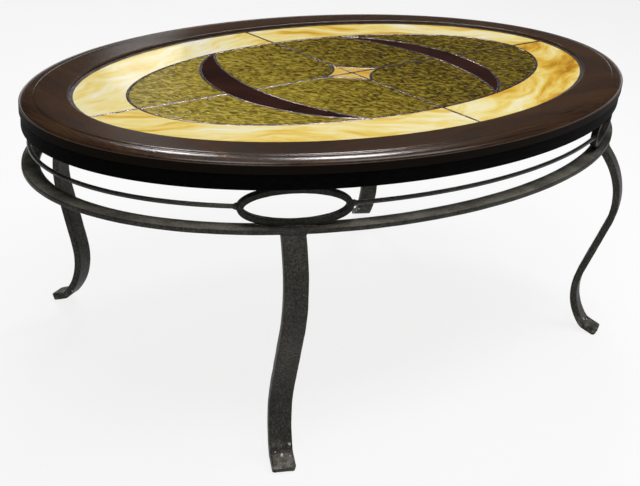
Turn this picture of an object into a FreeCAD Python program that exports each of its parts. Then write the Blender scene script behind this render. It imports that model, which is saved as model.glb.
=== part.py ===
import FreeCAD, Part
import math
import os

Vector = FreeCAD.Vector
UP = Vector(0, 0, 1)

# Overall size of the table, in millimetres: the long axis lies along X, the floor is at Z = 0
TOP_LENGTH = 1220.0
TOP_WIDTH = 775.0
TABLE_HEIGHT = 490.0

# Wooden top frame, an oval ring with a moulded outer edge
FRAME_WIDTH = 76.0
FRAME_THICKNESS = 22.0
EDGE_ROUND_WIDTH = 20.0
EDGE_ROUND_DROP = 7.0
EDGE_STEP = 1.2
EDGE_ROUND_SECTIONS = 7
LIP_CHAMFER = 2.0
FRAME_JOINT_ANGLE = 40.0

# Loose tongues in the frame's butt joints
TONGUE_LENGTH = 40.0
TONGUE_WIDTH = 30.0
TONGUE_THICKNESS = 6.0

# Lower moulding under the frame, with the ledge that carries the glass
MOULDING_HEIGHT = 25.0
MOULDING_SETBACK = 2.3
MOULDING_CHAMFER = 2.0
MOULDING_JOINT_ANGLE = 25.0
LEDGE_WIDTH = 20.0

# Glass: bearer sheet on pads, and the leaded panel on the sheet
PANEL_CLEARANCE = 0.5
PAD_DIAMETER = 12.0
PAD_THICKNESS = 1.0
PAD_COUNT = 8
BEARER_THICKNESS = 10.0
PANE_THICKNESS = 4.0
CAME_FLANGE = 6.0
CAME_WEB = 1.5
LEAD_THICKNESS = 1.0
SEAM_WEB = 1.2
SEAM_BEAD = 5.0
BORDER_WIDTH = 92.0

# Pattern of the oval field: two crescents and a four-pointed star with hollow sides
CRESCENT_REACH = 275.0
CRESCENT_WIDTH = 58.0
CRESCENT_TIP = 150.0
STAR_LENGTH = 170.0
STAR_WIDTH = 110.0
STAR_HOLLOW = 14.0

# Iron base: flat-bar rings, ornaments and rods. The lower hoop is welded from four bars over the legs.
RING_WIDTH = 30.0
RING_THICKNESS = 6.0
RING_LIP = 8.0
HOOP_WIDTH = 28.0
HOOP_THICKNESS = 7.5
HOOP_SETBACK = 1.5
ORNAMENT_LENGTH = 172.0
ORNAMENT_HEIGHT = 59.5
ORNAMENT_BAR = 10.0
ORNAMENT_DEPTH = 12.0
ORNAMENT_FLAT = 0.8
ORNAMENT_INSET = 19.5
ROD_DIAMETER = 7.0
ROD_RISE = 1.75
ROD_BEND_TOLERANCE = 0.2

# Screws up through the upper ring into the wood, two in each quarter of the oval
SCREW_LENGTH = 32.0
SCREW_DIAMETER = 4.5
SCREW_CLEARANCE = 0.1
SCREW_HEAD_DIAMETER = 9.0
SCREW_HEAD_HEIGHT = 2.5
SCREW_ANGLES = (12.0, 80.0)

# Legs: flat bar bent in its own upright plane, leans measured from the vertical
LEG_ANGLE = 51.7
LEG_WIDTH = 36.0
LEG_THICKNESS = 13.0
LEG_SETBACK = 8.5
THIGH_LENGTH = 17.3
THIGH_LEAN = 39.5
KNEE_RADIUS = 141.0
SHIN_LEAN = 17.1
ANKLE_RADIUS = 125.5
INSTEP_RADIUS = 110.0
INSTEP_LEAN = 40.4
TOE_BEND_RADIUS = 14.0
TOE_LEAN = 67.5
TOE_LENGTH = 27.1
TOE_SINK = 2.5

# Heights, from the top downwards
FRAME_BOTTOM = TABLE_HEIGHT - FRAME_THICKNESS
MOULDING_BOTTOM = FRAME_BOTTOM - MOULDING_HEIGHT
HOOP_TOP = MOULDING_BOTTOM - ORNAMENT_HEIGHT
HOOP_BOTTOM = HOOP_TOP - HOOP_THICKNESS
BEARER_BOTTOM = FRAME_BOTTOM + PAD_THICKNESS
BEARER_TOP = BEARER_BOTTOM + BEARER_THICKNESS
PANE_BOTTOM = BEARER_TOP + LEAD_THICKNESS
PANE_TOP = PANE_BOTTOM + PANE_THICKNESS
PANEL_TOP = PANE_TOP + LEAD_THICKNESS

# Insets from the outer edge of the top
PANEL_INSET = FRAME_WIDTH + PANEL_CLEARANCE
FIELD_INSET = PANEL_INSET + BORDER_WIDTH
LEDGE_INSET = FRAME_WIDTH + LEDGE_WIDTH
RING_INSET = MOULDING_SETBACK + RING_LIP
HOOP_MIDDLE = HOOP_SETBACK + HOOP_WIDTH / 2

QUARTERS = {"back_right": (1, 1), "back_left": (-1, 1), "front_left": (-1, -1), "front_right": (1, -1)}
SIDES = {"left": -1, "right": 1}
parts = {}


# Ovals and other shapes that many pieces share

def oval_axes(inset):
    """Half length and half width of the oval that lies inset from the edge of the top."""
    return TOP_LENGTH / 2 - inset, TOP_WIDTH / 2 - inset


def oval_wire(inset, z):
    half_length, half_width = oval_axes(inset)
    return Part.Wire([Part.Ellipse(Vector(0, 0, z), half_length, half_width).toShape()])


def oval_disc(inset, z_low, z_high):
    return Part.Face(oval_wire(inset, z_low)).extrude(UP * (z_high - z_low))


def oval_ring(outer_inset, inner_inset, z_low, z_high):
    return oval_disc(outer_inset, z_low, z_high).cut(oval_disc(inner_inset, z_low, z_high))


def oval_loft(sections, ruled):
    """Solid through ovals given as (inset, height), from the lowest to the highest."""
    return Part.makeLoft([oval_wire(inset, z) for inset, z in sections], True, ruled)


def oval_point(inset, angle):
    """Point of an oval at an eccentric angle in degrees, and the outward normal there."""
    half_length, half_width = oval_axes(inset)
    c, s = math.cos(math.radians(angle)), math.sin(math.radians(angle))
    normal = Vector(c / half_length, s / half_width, 0)
    normal.normalize()
    return Vector(half_length * c, half_width * s, 0), normal


def upright_cylinder(x, y, radius, z_low, z_high):
    return Part.makeCylinder(radius, z_high - z_low, Vector(x, y, z_low))


def centred_box(length, width, z_low, z_high):
    return Part.makeBox(length, width, z_high - z_low, Vector(-length / 2, -width / 2, z_low))


def polygon_prism(corners, z_low, z_high):
    loop = [Vector(x, y, z_low) for x, y in corners + corners[:1]]
    return Part.Face(Part.makePolygon(loop)).extrude(UP * (z_high - z_low))


def quarter_box(x_side, y_side, z_low, z_high):
    far_x, far_y = x_side * TOP_LENGTH, y_side * TOP_WIDTH
    return polygon_prism([(0, 0), (far_x, 0), (far_x, far_y), (0, far_y)], z_low, z_high)


def stand_on_oval(shape, inset, angle, x_side, y_side):
    """Set a shape drawn with +X outwards on the oval in one quarter, facing out of it."""
    point, normal = oval_point(inset, angle)
    placed = shape.copy()
    placed.rotate(Vector(0, 0, 0), UP, math.degrees(math.atan2(y_side * normal.y, x_side * normal.x)))
    placed.translate(Vector(x_side * point.x, y_side * point.y, 0))
    return placed


def four_segments(ring, inset, joint_angle, z_low, z_high):
    """Cut an oval ring into four by upright planes square to the oval at the joint angle."""
    point, normal = oval_point(inset, joint_angle)
    apex = point.x - point.y * normal.x / normal.y
    reach = TOP_LENGTH
    far_x, far_y = apex + reach * normal.x, reach * normal.y
    wedges = {
        "right": [(apex, 0), (far_x, -far_y), (far_x, far_y)],
        "back": [(-apex, 0), (apex, 0), (far_x, far_y), (-far_x, far_y)],
        "left": [(-apex, 0), (-far_x, far_y), (-far_x, -far_y)],
        "front": [(apex, 0), (-apex, 0), (-far_x, -far_y), (far_x, -far_y)],
    }
    return {side: ring.common(polygon_prism(corners, z_low, z_high)) for side, corners in wedges.items()}


# Wooden top frame

def edge_round():
    """Sections of the moulded round, a quarter ellipse between its two small steps."""
    ledge = TABLE_HEIGHT - EDGE_STEP - EDGE_ROUND_DROP
    sections = []
    for step in range(EDGE_ROUND_SECTIONS):
        turn = math.pi / 2 * step / (EDGE_ROUND_SECTIONS - 1)
        inset = EDGE_STEP + EDGE_ROUND_WIDTH * (1 - math.cos(turn))
        sections.append((inset, ledge + EDGE_ROUND_DROP * math.sin(turn)))
    return sections


def top_frame():
    sections = edge_round()
    round_bottom, round_top = sections[0][1], sections[-1][1]
    board = oval_disc(0, FRAME_BOTTOM, round_bottom)
    board = board.fuse(oval_loft(sections, False))
    board = board.fuse(oval_disc(sections[-1][0], round_top, TABLE_HEIGHT))
    opening = oval_disc(FRAME_WIDTH, FRAME_BOTTOM, TABLE_HEIGHT)
    lip_sections = [(FRAME_WIDTH, TABLE_HEIGHT - LIP_CHAMFER), (FRAME_WIDTH - LIP_CHAMFER, TABLE_HEIGHT)]
    lip = oval_loft(lip_sections, True)
    return board.cut(opening.fuse(lip)).removeSplitter()


def joint_tongues():
    bottom = FRAME_BOTTOM + (FRAME_THICKNESS - TONGUE_THICKNESS) / 2
    tongue = centred_box(TONGUE_WIDTH, TONGUE_LENGTH, bottom, bottom + TONGUE_THICKNESS)
    middle = FRAME_WIDTH / 2
    return [stand_on_oval(tongue, middle, FRAME_JOINT_ANGLE, *sides) for sides in QUARTERS.values()]


# Screws: two in each quarter, through the upper ring and the moulding into the frame

def screw_places():
    middle = RING_INSET + RING_WIDTH / 2
    for x_side, y_side in QUARTERS.values():
        for angle in SCREW_ANGLES:
            point, _ = oval_point(middle, angle)
            yield x_side * point.x, y_side * point.y


def screw(x, y):
    shank = upright_cylinder(x, y, SCREW_DIAMETER / 2, MOULDING_BOTTOM, MOULDING_BOTTOM + SCREW_LENGTH)
    head_bottom = MOULDING_BOTTOM - SCREW_HEAD_HEIGHT
    head = upright_cylinder(x, y, SCREW_HEAD_DIAMETER / 2, head_bottom, MOULDING_BOTTOM)
    return shank.fuse(head).removeSplitter()


def screw_holes():
    radius = SCREW_DIAMETER / 2 + SCREW_CLEARANCE
    top = MOULDING_BOTTOM + SCREW_LENGTH
    return [upright_cylinder(x, y, radius, MOULDING_BOTTOM, top) for x, y in screw_places()]


# Lower moulding

def lower_moulding():
    eased = MOULDING_BOTTOM + MOULDING_CHAMFER
    body = oval_disc(MOULDING_SETBACK, eased, FRAME_BOTTOM)
    chamfer = [(MOULDING_SETBACK + MOULDING_CHAMFER, MOULDING_BOTTOM), (MOULDING_SETBACK, eased)]
    body = body.fuse(oval_loft(chamfer, True))
    body = body.cut(oval_disc(LEDGE_INSET, MOULDING_BOTTOM, FRAME_BOTTOM))
    return body.cut(upper_ring()).removeSplitter()


# Pattern of the leaded panel. Each shape of the pattern is a prism between two heights.

def crescent_circle(apex):
    """Centre along X and radius of the circle through both tips of a crescent and its apex."""
    half_length, half_width = oval_axes(FIELD_INSET)
    tip_y = half_width * math.sqrt(1 - (CRESCENT_TIP / half_length) ** 2)
    centre = (apex ** 2 - CRESCENT_TIP ** 2 - tip_y ** 2) / (2 * (apex - CRESCENT_TIP))
    return centre, apex - centre


CRESCENT_OUTER = crescent_circle(CRESCENT_REACH)
CRESCENT_INNER = crescent_circle(CRESCENT_REACH - CRESCENT_WIDTH)


def star_circle():
    """Centre and radius of the circle that hollows the star's side where X and Y are positive."""
    half = Vector(STAR_LENGTH / 2, STAR_WIDTH / 2, 0)
    half_chord = half.Length / 2
    radius = (half_chord ** 2 + STAR_HOLLOW ** 2) / (2 * STAR_HOLLOW)
    outward = Vector(half.y, half.x, 0)
    outward.normalize()
    return half * 0.5 + outward * (radius - STAR_HOLLOW), radius


def circle_band(x, y, radius, width, z_low, z_high):
    outer = upright_cylinder(x, y, radius + width / 2, z_low, z_high)
    return outer.cut(upright_cylinder(x, y, radius - width / 2, z_low, z_high))


def crescent_disc(side, circle, z_low, z_high):
    centre, radius = circle
    return upright_cylinder(side * centre, 0, radius, z_low, z_high)


def crescent(side, z_low, z_high):
    lune = crescent_disc(side, CRESCENT_OUTER, z_low, z_high)
    lune = lune.cut(crescent_disc(side, CRESCENT_INNER, z_low, z_high))
    return lune.common(half_field(side, z_low, z_high))


def half_field(side, z_low, z_high):
    return field_beyond(0, side, z_low, z_high)


def field_beyond(x, side, z_low, z_high):
    """Part of the oval field that lies further out than x on one side."""
    box = Part.makeBox(TOP_LENGTH, TOP_WIDTH, z_high - z_low, Vector(x, -TOP_WIDTH / 2, z_low))
    if side < 0:
        box.rotate(Vector(0, 0, 0), UP, 180)
    return oval_disc(FIELD_INSET, z_low, z_high).common(box)


def star(z_low, z_high):
    reach_x, reach_y = STAR_LENGTH / 2, STAR_WIDTH / 2
    shape = polygon_prism([(reach_x, 0), (0, reach_y), (-reach_x, 0), (0, -reach_y)], z_low, z_high)
    centre, radius = star_circle()
    for x_side, y_side in QUARTERS.values():
        shape = shape.cut(upright_cylinder(x_side * centre.x, y_side * centre.y, radius, z_low, z_high))
    return shape


def seams(width, edge_inset, z_low, z_high):
    """All the lines between panes as one solid of the given line width, out to the oval at edge_inset."""
    long_line = centred_box(TOP_LENGTH, width, z_low, z_high)
    lines = [oval_ring(FIELD_INSET - width / 2, FIELD_INSET + width / 2, z_low, z_high)]
    for side in SIDES.values():
        long_line = long_line.cut(crescent(side, z_low, z_high))
        beyond_tips = field_beyond(CRESCENT_TIP, side, z_low, z_high)
        for centre, radius in (CRESCENT_OUTER, CRESCENT_INNER):
            band = circle_band(side * centre, 0, radius, width, z_low, z_high)
            lines.append(band.common(beyond_tips))
    edge = oval_disc(edge_inset, z_low, z_high)
    lines.append(long_line.common(edge))
    lines.append(centred_box(width, TOP_WIDTH, z_low, z_high).common(edge))
    centre, radius = star_circle()
    star_room = centred_box(STAR_LENGTH, STAR_WIDTH, z_low, z_high)
    for x_side, y_side in QUARTERS.values():
        band = circle_band(x_side * centre.x, y_side * centre.y, radius, width, z_low, z_high)
        lines.append(band.common(star_room).common(quarter_box(x_side, y_side, z_low, z_high)))
    return lines[0].multiFuse(lines[1:])


def solder_seams(web):
    """Beads of solder on both faces of the panel, joined by the web between the panes."""
    top_bead = seams(SEAM_BEAD, PANEL_INSET + CAME_FLANGE, PANE_TOP, PANEL_TOP)
    bottom_bead = top_bead.copy()
    bottom_bead.translate(UP * (BEARER_TOP - PANE_TOP))
    return web.multiFuse([top_bead, bottom_bead]).removeSplitter()


def edge_came():
    channel = oval_ring(PANEL_INSET, PANEL_INSET + CAME_WEB, BEARER_TOP, PANEL_TOP)
    for z_low, z_high in ((BEARER_TOP, PANE_BOTTOM), (PANE_TOP, PANEL_TOP)):
        channel = channel.fuse(oval_ring(PANEL_INSET, PANEL_INSET + CAME_FLANGE, z_low, z_high))
    return channel.removeSplitter()


def panes(web):
    """Every pane of the panel by name, cut apart by the web of the seams."""
    room = (PANE_BOTTOM, PANE_TOP)
    border = oval_ring(PANEL_INSET + CAME_WEB, FIELD_INSET, *room)
    star_shape = star(*room)
    shapes = {}
    ground_inner = oval_disc(FIELD_INSET, *room).cut(star_shape)
    ground_outer = oval_disc(FIELD_INSET, *room)
    for side_name, side in SIDES.items():
        shapes["crescent_pane_" + side_name] = crescent(side, *room)
        inner_disc = crescent_disc(side, CRESCENT_INNER, *room)
        ground_inner = ground_inner.common(inner_disc)
        ground_outer = ground_outer.cut(inner_disc.common(half_field(side, *room)))
        ground_outer = ground_outer.cut(shapes["crescent_pane_" + side_name])
    for place, sides in QUARTERS.items():
        quarter = quarter_box(*sides, *room)
        shapes["border_pane_" + place] = border.common(quarter)
        shapes["inner_ground_pane_" + place] = ground_inner.common(quarter)
        shapes["outer_ground_pane_" + place] = ground_outer.common(quarter)
        shapes["star_pane_" + place] = star_shape.common(quarter)
    return {name: shape.cut(web) for name, shape in shapes.items()}


def setting_pads():
    middle = FRAME_WIDTH + LEDGE_WIDTH / 2
    points = [oval_point(middle, 360 * number / PAD_COUNT)[0] for number in range(PAD_COUNT)]
    return [upright_cylinder(p.x, p.y, PAD_DIAMETER / 2, FRAME_BOTTOM, BEARER_BOTTOM) for p in points]


# Iron base

def upper_ring():
    return oval_ring(RING_INSET, RING_INSET + RING_WIDTH, MOULDING_BOTTOM, MOULDING_BOTTOM + RING_THICKNESS)


def ornament():
    """Oval of flat bar standing in the YZ plane, pressed flat at the hoop and at the ring."""
    middle = Vector(-ORNAMENT_DEPTH / 2, 0, HOOP_TOP + ORNAMENT_HEIGHT / 2)
    half_length, half_height = ORNAMENT_LENGTH / 2, ORNAMENT_HEIGHT / 2 + ORNAMENT_FLAT
    rims = []
    for inset in (0, ORNAMENT_BAR):
        ellipse = Part.Ellipse(Vector(0, 0, 0), half_length - inset, half_height - inset).toShape()
        ellipse.rotate(Vector(0, 0, 0), UP, 90)
        ellipse.rotate(Vector(0, 0, 0), Vector(0, 1, 0), 90)
        ellipse.translate(middle)
        rims.append(Part.Face(Part.Wire([ellipse])).extrude(Vector(ORNAMENT_DEPTH, 0, 0)))
    room = centred_box(ORNAMENT_LENGTH, 2 * ORNAMENT_LENGTH, HOOP_TOP, MOULDING_BOTTOM)
    return rims[0].cut(rims[1]).common(room)


def ornament_end(along):
    """Middle of the bar at one end of the ornament that stands where X and Y are positive."""
    point, normal = oval_point(ORNAMENT_INSET, LEG_ANGLE)
    tangent = Vector(-normal.y, normal.x, 0)
    return point + tangent * (along * (ORNAMENT_LENGTH - ORNAMENT_BAR) / 2)


def oval_inset_through(point):
    """Inset of the oval that passes through a point, found by halving."""
    low, high = -TOP_WIDTH / 4, TOP_WIDTH / 4
    for _ in range(60):
        middle = (low + high) / 2
        half_length, half_width = oval_axes(middle)
        outside = (point.x / half_length) ** 2 + (point.y / half_width) ** 2 > 1
        low, high = (low, middle) if outside else (middle, high)
    return middle


def rod(along, start, finish):
    """Round rod bent in smooth arcs along the oval through the ornament's end, between two angles of it."""
    end = ornament_end(along)
    half_length, half_width = oval_axes(oval_inset_through(end))
    angle = math.atan2(end.y / half_width, end.x / half_length)
    height = HOOP_TOP + ORNAMENT_HEIGHT / 2 + ROD_RISE
    oval = Part.Ellipse(Vector(0, 0, height), half_length, half_width)
    stretch = Part.ArcOfEllipse(oval, start(angle), finish(angle))
    path = Part.Wire([arc.toShape() for arc in stretch.toBSpline().toBiArcs(ROD_BEND_TOLERANCE)])
    begin, direction = stretch.StartPoint, stretch.tangent(stretch.FirstParameter)[0]
    section = Part.Wire([Part.Circle(begin, direction, ROD_DIAMETER / 2).toShape()])
    return path.makePipeShell([section], True, False)


def leg_outline():
    """Closed wire of the bar's edge, with +X outwards from the outer edge of the hoop and Z up."""
    half = LEG_THICKNESS / 2
    thigh, shin = math.radians(THIGH_LEAN), math.radians(SHIN_LEAN)
    instep, toe = math.radians(INSTEP_LEAN), math.radians(TOE_LEAN)
    bends = [
        (KNEE_RADIUS, thigh, -shin),
        (ANKLE_RADIUS, -shin, 0.0),
        (INSTEP_RADIUS, 0.0, instep),
        (TOE_BEND_RADIUS, instep, toe),
    ]
    drop = THIGH_LENGTH * math.cos(thigh) + TOE_LENGTH * math.cos(toe)
    drop += sum(radius * abs(math.sin(end) - math.sin(start)) for radius, start, end in bends)
    tip_height = half * math.sin(toe) - TOE_SINK
    shin_length = (HOOP_BOTTOM - tip_height - drop) / math.cos(shin)
    spare = LEG_THICKNESS
    here = Vector(-LEG_SETBACK - spare * math.sin(thigh), 0, HOOP_BOTTOM + spare * math.cos(thigh))
    stretches = [(THIGH_LENGTH + spare, thigh), bends[0], (shin_length, -shin)]
    stretches += bends[1:] + [(TOE_LENGTH, toe)]
    inner, outer = [], []
    for stretch in stretches:
        if len(stretch) == 2:
            length, lean = stretch
            there = here + heading(lean) * length
            for edges, side in ((inner, -1), (outer, 1)):
                shift = sideways(lean) * (side * half)
                edges.append(Part.makeLine(here + shift, there + shift))
        else:
            radius, start, end = stretch
            turn = 1 if end > start else -1
            centre = here + sideways(start) * (turn * radius)
            there = centre - sideways(end) * (turn * radius)
            for edges, side in ((inner, -1), (outer, 1)):
                bow = turn * radius - side * half
                points = [centre - sideways(lean) * bow for lean in (start, (start + end) / 2, end)]
                edges.append(Part.Arc(*points).toShape())
        here = there
    top_end = Part.makeLine(inner[0].Vertexes[0].Point, outer[0].Vertexes[0].Point)
    tip_end = Part.makeLine(inner[-1].Vertexes[-1].Point, outer[-1].Vertexes[-1].Point)
    return Part.Wire(Part.__sortEdges__(inner + outer + [top_end, tip_end]))


def heading(lean):
    """Direction of a stretch of leg that runs downwards, leaning outwards from the vertical."""
    return Vector(math.sin(lean), 0, -math.cos(lean))


def sideways(lean):
    """Direction square to such a stretch, on its outer side."""
    return Vector(math.cos(lean), 0, math.sin(lean))


def leg():
    bar = Part.Face(leg_outline()).extrude(Vector(0, LEG_WIDTH, 0))
    bar.translate(Vector(0, -LEG_WIDTH / 2, 0))
    return bar.common(centred_box(TOP_LENGTH, TOP_WIDTH, 0, HOOP_BOTTOM))


# Putting the table together

tongues = joint_tongues()
holes = screw_holes()
frame_ring = top_frame().cut(Part.makeCompound(tongues + holes))
frame_segments = four_segments(frame_ring, FRAME_WIDTH / 2, FRAME_JOINT_ANGLE, FRAME_BOTTOM, TABLE_HEIGHT)
for side_name, segment in frame_segments.items():
    parts["top_frame_" + side_name] = segment
parts["joint_tongues"] = Part.makeCompound(tongues)

moulding_ring = lower_moulding().cut(Part.makeCompound(holes))
moulding_middle = (MOULDING_SETBACK + LEDGE_INSET) / 2
moulding_segments = four_segments(
    moulding_ring, moulding_middle, MOULDING_JOINT_ANGLE, MOULDING_BOTTOM, FRAME_BOTTOM)
for side_name, segment in moulding_segments.items():
    parts["lower_moulding_" + side_name] = segment

parts["setting_pads"] = Part.makeCompound(setting_pads())
parts["bearer_glass"] = oval_disc(PANEL_INSET, BEARER_BOTTOM, BEARER_TOP)
parts["edge_came"] = edge_came()
seam_web = seams(SEAM_WEB, PANEL_INSET + CAME_WEB, PANE_BOTTOM, PANE_TOP)
parts["solder_seams"] = solder_seams(seam_web)
parts.update(panes(seam_web))

parts["upper_ring"] = upper_ring().cut(Part.makeCompound(holes))
parts["top_screws"] = Part.makeCompound([screw(x, y) for x, y in screw_places()])
hoop = oval_ring(HOOP_SETBACK, HOOP_SETBACK + HOOP_WIDTH, HOOP_BOTTOM, HOOP_TOP)
for side_name, segment in four_segments(hoop, HOOP_MIDDLE, LEG_ANGLE, HOOP_BOTTOM, HOOP_TOP).items():
    parts["lower_hoop_" + side_name] = segment

ornaments = []
for place, sides in QUARTERS.items():
    ornaments.append(stand_on_oval(ornament(), ORNAMENT_INSET, LEG_ANGLE, *sides))
    parts["ornament_" + place] = ornaments[-1]
    parts["leg_" + place] = stand_on_oval(leg(), HOOP_SETBACK, LEG_ANGLE, *sides)

long_rod = rod(1, lambda angle: angle, lambda angle: math.pi - angle)
short_rod = rod(-1, lambda angle: math.pi - angle, lambda angle: math.pi + angle)
rods = {"back": (long_rod, 0), "front": (long_rod, 180), "left": (short_rod, 0), "right": (short_rod, 180)}
for side_name, (shape, turn) in rods.items():
    placed = shape.copy()
    placed.rotate(Vector(0, 0, 0), UP, turn)
    parts["rod_" + side_name] = placed.cut(Part.makeCompound(ornaments))

os.makedirs("parts", exist_ok=True)
for name, shape in parts.items():
    shape.exportStep("parts/" + name + ".step")
    print(name, len(shape.Solids), round(shape.Volume), shape.isValid())
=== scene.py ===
import math

import bmesh
import bpy
import numpy as np
from mathutils import Matrix, Vector, geometry, noise


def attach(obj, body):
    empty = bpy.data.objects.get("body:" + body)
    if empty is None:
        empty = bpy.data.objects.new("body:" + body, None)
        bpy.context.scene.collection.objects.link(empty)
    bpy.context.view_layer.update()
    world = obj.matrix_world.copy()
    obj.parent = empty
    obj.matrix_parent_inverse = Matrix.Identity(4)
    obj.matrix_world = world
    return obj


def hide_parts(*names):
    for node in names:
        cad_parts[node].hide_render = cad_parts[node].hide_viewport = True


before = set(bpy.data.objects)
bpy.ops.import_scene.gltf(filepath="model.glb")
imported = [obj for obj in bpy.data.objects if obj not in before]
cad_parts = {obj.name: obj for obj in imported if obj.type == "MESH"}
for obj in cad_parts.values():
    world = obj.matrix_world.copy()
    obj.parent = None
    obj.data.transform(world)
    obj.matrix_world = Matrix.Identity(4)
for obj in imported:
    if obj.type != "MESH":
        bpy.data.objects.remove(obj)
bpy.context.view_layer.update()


# Lower hoop. Flat wrought-iron bar, 28 by 7.5 mm, bent on its flat to an oval and welded from four lengths.
# The welds lie over the legs. The hammer has eased its edges, and the iron is blackened and waxed.

SIDES = ("front", "back", "left", "right")
HALF_LENGTH, HALF_WIDTH = 0.610, 0.3875
HOOP_SETBACK, HOOP_WIDTH, HOOP_BOTTOM, HOOP_TOP, HOOP_CORNER = 0.0015, 0.028, 0.376, 0.3835, 0.0016
HOOP_MIDDLE = HOOP_SETBACK + HOOP_WIDTH / 2
LEG_TURN = math.radians(51.7)
OVAL_STATIONS, CORNER_PARTS = 900, 4
ALL_ROUND = [2 * math.pi * station / OVAL_STATIONS for station in range(OVAL_STATIONS)]


def oval_point(inset, turn, z=0.0):
    """Point of the oval that lies inset from the edge of the top, at an eccentric angle."""
    return Vector(((HALF_LENGTH - inset) * math.cos(turn), (HALF_WIDTH - inset) * math.sin(turn), z))


def oval_outward(inset, turn):
    """Outward normal of that oval."""
    return Vector((math.cos(turn) / (HALF_LENGTH - inset), math.sin(turn) / (HALF_WIDTH - inset), 0.0)).normalized()


def linked(name, data):
    """New object in the scene, at the origin."""
    thing = bpy.data.objects.new(name, data)
    bpy.context.scene.collection.objects.link(thing)
    return thing


def fill(tree, node, sockets):
    """Set a node's sockets to values, or link other nodes' outputs to them."""
    for key, value in sockets.items():
        if isinstance(value, bpy.types.NodeSocket):
            tree.links.new(value, node.inputs[key])
        else:
            node.inputs[key].default_value = value


def add_node(tree, kind, sockets=None, output=0, **settings):
    """Add a node, set its options, fill its sockets, and give one of its outputs."""
    node = tree.nodes.new(kind)
    for key, value in settings.items():
        setattr(node, key, value)
    fill(tree, node, sockets or {})
    return node.outputs[output]


def times(tree, first, second):
    """Product of two values."""
    return add_node(tree, "ShaderNodeMath", {0: first, 1: second}, operation="MULTIPLY")


def centred(tree, value):
    """A pattern from 0 to 1, made to lie about 0."""
    return add_node(tree, "ShaderNodeMath", {0: value, 1: 0.5}, operation="SUBTRACT")


def new_tree(name, inputs):
    """Geometry Nodes tree with a geometry in and out and the named inputs."""
    tree = bpy.data.node_groups.new(name, "GeometryNodeTree")
    for label, kind in {"Geometry": "Geometry", **inputs}.items():
        tree.interface.new_socket(label, in_out="INPUT", socket_type="NodeSocket" + kind)
    tree.interface.new_socket("Geometry", in_out="OUTPUT", socket_type="NodeSocketGeometry")
    return tree, tree.nodes.new("NodeGroupInput").outputs


def given_shape(tree, source, as_instance=False):
    """Shape of an object that a tree is given."""
    return add_node(tree, "GeometryNodeObjectInfo", {"Object": source, "As Instance": as_instance}, "Geometry")


def swept(tree, given):
    """Solid of the tree's section along the carrier's lines."""
    return add_node(tree, "GeometryNodeCurveToMesh", {
        "Curve": given["Geometry"], "Profile Curve": given_shape(tree, given["Section"]), "Fill Caps": True})


def end_tree(tree, shape, finish):
    """Close a tree with Realize Instances and Set Material."""
    real = add_node(tree, "GeometryNodeRealizeInstances", {"Geometry": shape})
    done = add_node(tree, "GeometryNodeSetMaterial", {"Geometry": real, "Material": finish})
    fill(tree, tree.nodes.new("NodeGroupOutput"), {"Geometry": done})
    return tree


def forged_bar_tree():
    """Bar of a given section along a path, with the slight unevenness that the hammer leaves."""
    tree, given = new_tree("forged_bar", {
        "Section": "Object", "Hammer Depth": "Float", "Hammer Scale": "Float", "Seed": "Float", "Finish": "Material"})
    bar = swept(tree, given)
    lumps = add_node(tree, "ShaderNodeTexNoise", {
        "Vector": add_node(tree, "GeometryNodeInputPosition"), "W": given["Seed"], "Scale": given["Hammer Scale"],
        "Detail": 1.0}, noise_dimensions="4D")
    depth = times(tree, centred(tree, lumps), given["Hammer Depth"])
    push = add_node(tree, "ShaderNodeVectorMath", {0: add_node(tree, "GeometryNodeInputNormal"), "Scale": depth},
                    operation="SCALE")
    moved = add_node(tree, "GeometryNodeSetPosition", {"Geometry": bar, "Offset": push})
    return end_tree(tree, moved, given["Finish"])


FORGED_BAR = forged_bar_tree()


def paths_object(name, paths):
    """Curve object of several paths, each its points as (x, y, z, size) and whether it closes."""
    curve = bpy.data.curves.new(name, "CURVE")
    curve.dimensions = "3D"
    for points, closed in paths:
        spline = curve.splines.new("POLY")
        spline.points.add(len(points) - 1)
        for knot, (x, y, z, size) in zip(spline.points, points):
            knot.co = (x, y, z, 1.0)
            knot.radius = size
        spline.use_cyclic_u = closed
    return linked(name, curve)


def path_object(name, points, closed):
    """Curve object of one path through plain points."""
    return paths_object(name, [([(*point, 1.0) for point in points], closed)])


def made_by_nodes(carrier, tree, values):
    """Plain mesh that a tree makes from its carrier, which is then thrown away."""
    modifier = carrier.modifiers.new("tree", "NODES")
    modifier.node_group = tree
    for item in tree.interface.items_tree:
        if item.in_out == "INPUT" and item.name in values:
            modifier[item.identifier] = values[item.name]
    depsgraph = bpy.context.evaluated_depsgraph_get()
    mesh = bpy.data.meshes.new_from_object(carrier.evaluated_get(depsgraph), depsgraph=depsgraph)
    carrier.modifiers.remove(modifier)
    bpy.data.objects.remove(carrier)
    return mesh


def forged_bar(points, closed, section, finish, depth, scale, seed):
    """Mesh of a bar along points, with hammer marks of a depth and a scale."""
    outline = path_object("section", section, True)
    mesh = made_by_nodes(path_object("path", points, closed), FORGED_BAR, {
        "Section": outline, "Hammer Depth": depth, "Hammer Scale": scale, "Seed": seed, "Finish": finish})
    bpy.data.objects.remove(outline)
    return mesh


def bar_section(width, thickness, corner, step):
    """Outline of a flat bar with rounded corners, its width along X."""
    outline = []
    for x_side, y_side, start in ((1, 1, 0), (-1, 1, 90), (-1, -1, 180), (1, -1, 270)):
        for part in range(CORNER_PARTS + 1):
            turn = math.radians(start + 90 / CORNER_PARTS * part)
            outline.append(Vector((x_side * (width / 2 - corner) + corner * math.cos(turn),
                                   y_side * (thickness / 2 - corner) + corner * math.sin(turn), 0.0)))
    points = []
    for here, there in zip(outline, outline[1:] + outline[:1]):
        parts = max(1, round((there - here).length / step))
        points += [here.lerp(there, part / parts) for part in range(parts)]
    return points


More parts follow.
